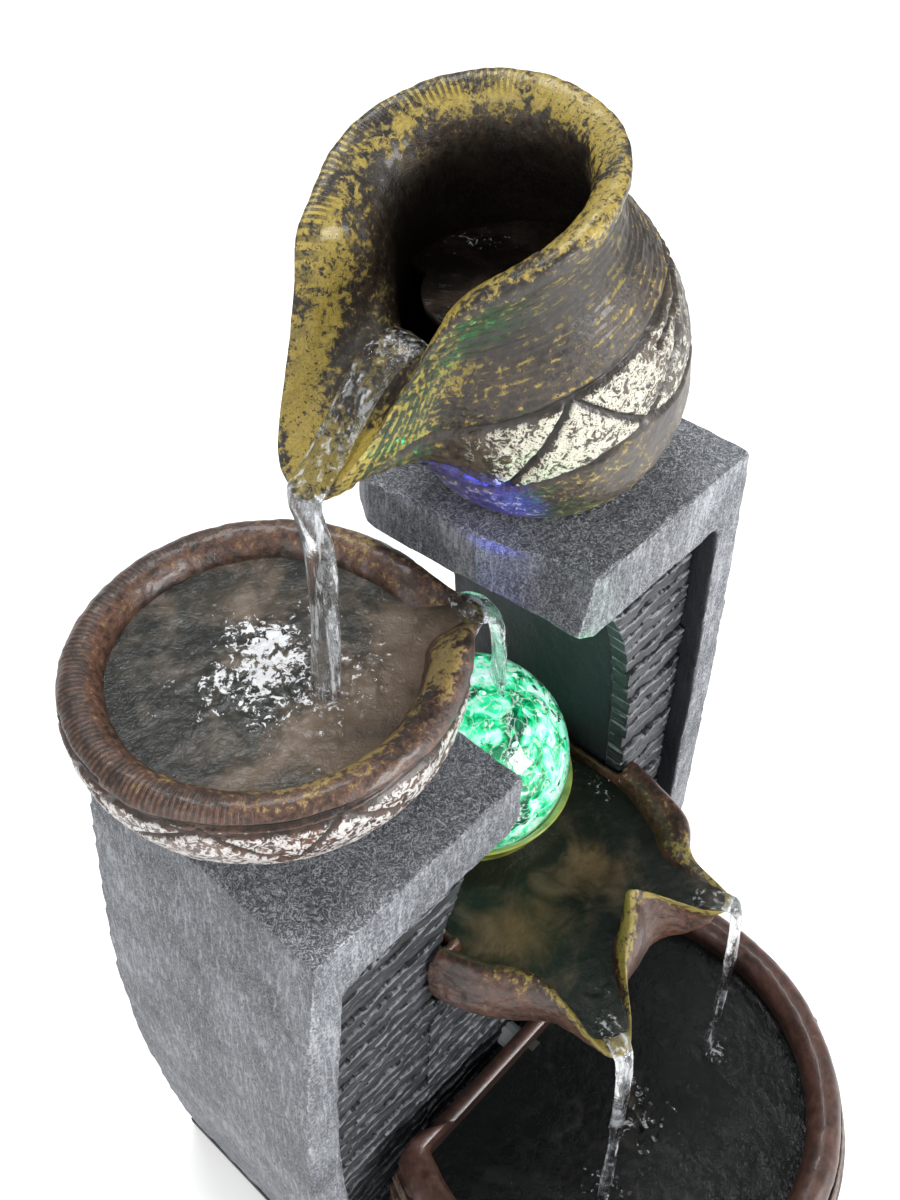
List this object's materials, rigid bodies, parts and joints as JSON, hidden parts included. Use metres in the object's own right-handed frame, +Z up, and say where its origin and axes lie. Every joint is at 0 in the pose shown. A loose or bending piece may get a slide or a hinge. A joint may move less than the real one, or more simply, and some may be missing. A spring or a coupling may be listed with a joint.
{
  "type": "tabletop water fountain",
  "caption": "Tabletop fountain: a tilted jug on a tall stone pillar pours into a bowl, over a lit crystal ball and a lower bowl, into a basin with a pump.",
  "frame": {"origin": "on the table, under the middle of the base, on the underside of the soft pad", "axes": "+Z up through the pillars, -Y out of the front with the basin, +X towards the tall pillar"},
  "size_m": [0.1259, 0.1463, 0.2455],
  "materials": {
    "grey_resin": "matt cast stone look, dry brushed",
    "slate_resin": "matt split slate look",
    "bronze_resin": "wet painted resin, gold dry brushed",
    "gilt_resin": "wet painted resin, gold dry brushed",
    "basin_resin": "wet painted resin",
    "crackle_glass": "crackled crystal",
    "cup_resin": "translucent olive",
    "clear_lens": "clear",
    "led_emitter": "lit diodes on a green board",
    "white_plastic": "satin",
    "black_plastic": "fine moulded grain",
    "dial_plastic": "satin",
    "pad_rubber": "matt foam rubber",
    "cable_rubber": "satin",
    "hose_rubber": "clear silicone look",
    "screw_steel": "zinc",
    "shaft_steel": "polished",
    "clear_water": "moving water"
  },
  "bodies": {
    "fountain": {"base_pad": "pad_rubber", "base_plate": "black_plastic", "base_screws": "screw_steel", "base_plinth": "grey_resin", "left_pillar": "grey_resin", "left_slate": "slate_resin", "right_pillar": "grey_resin", "right_slate": "slate_resin", "centre_wall": "grey_resin", "centre_slate": "slate_resin", "rear_hatch": "grey_resin", "hatch_screws": "screw_steel", "upper_bowl": "bronze_resin", "pouring_jug": "gilt_resin", "lower_bowl": "bronze_resin", "catch_basin": "basin_resin", "ball_cup": "cup_resin", "led_housing": "white_plastic", "led_board": "led_emitter", "led_lens": "clear_lens", "led_cable": "cable_rubber", "pump_body": "black_plastic", "pump_cover": "black_plastic", "impeller_shaft": "shaft_steel", "suction_cups": "pad_rubber", "pump_cable": "cable_rubber", "hose_grommet": "cable_rubber", "riser_hose": "hose_rubber", "jug_nozzle": "black_plastic", "lead_splice": "white_plastic", "cable_gland": "black_plastic"},
    "ball": {"crystal_ball": "crackle_glass"},
    "impeller": {"impeller": "white_plastic"},
    "regulator": {"flow_regulator": "dial_plastic"}
  },
  "joints": [
    {"name": "ball_spin", "type": "hinge", "parent": "fountain", "child": "ball", "pos_m": [0.0114, 0.0169, 0.114], "axis": [0, 0, 1], "continuous": true},
    {"name": "impeller_spin", "type": "hinge", "parent": "fountain", "child": "impeller", "pos_m": [0.001, -0.03, 0.0195], "axis": [0, 1, 0], "continuous": true},
    {"name": "regulator_turn", "type": "hinge", "parent": "fountain", "child": "regulator", "pos_m": [0.001, -0.045, 0.0195], "axis": [0, -1, 0], "range_deg": [0, 60]}
  ]
}
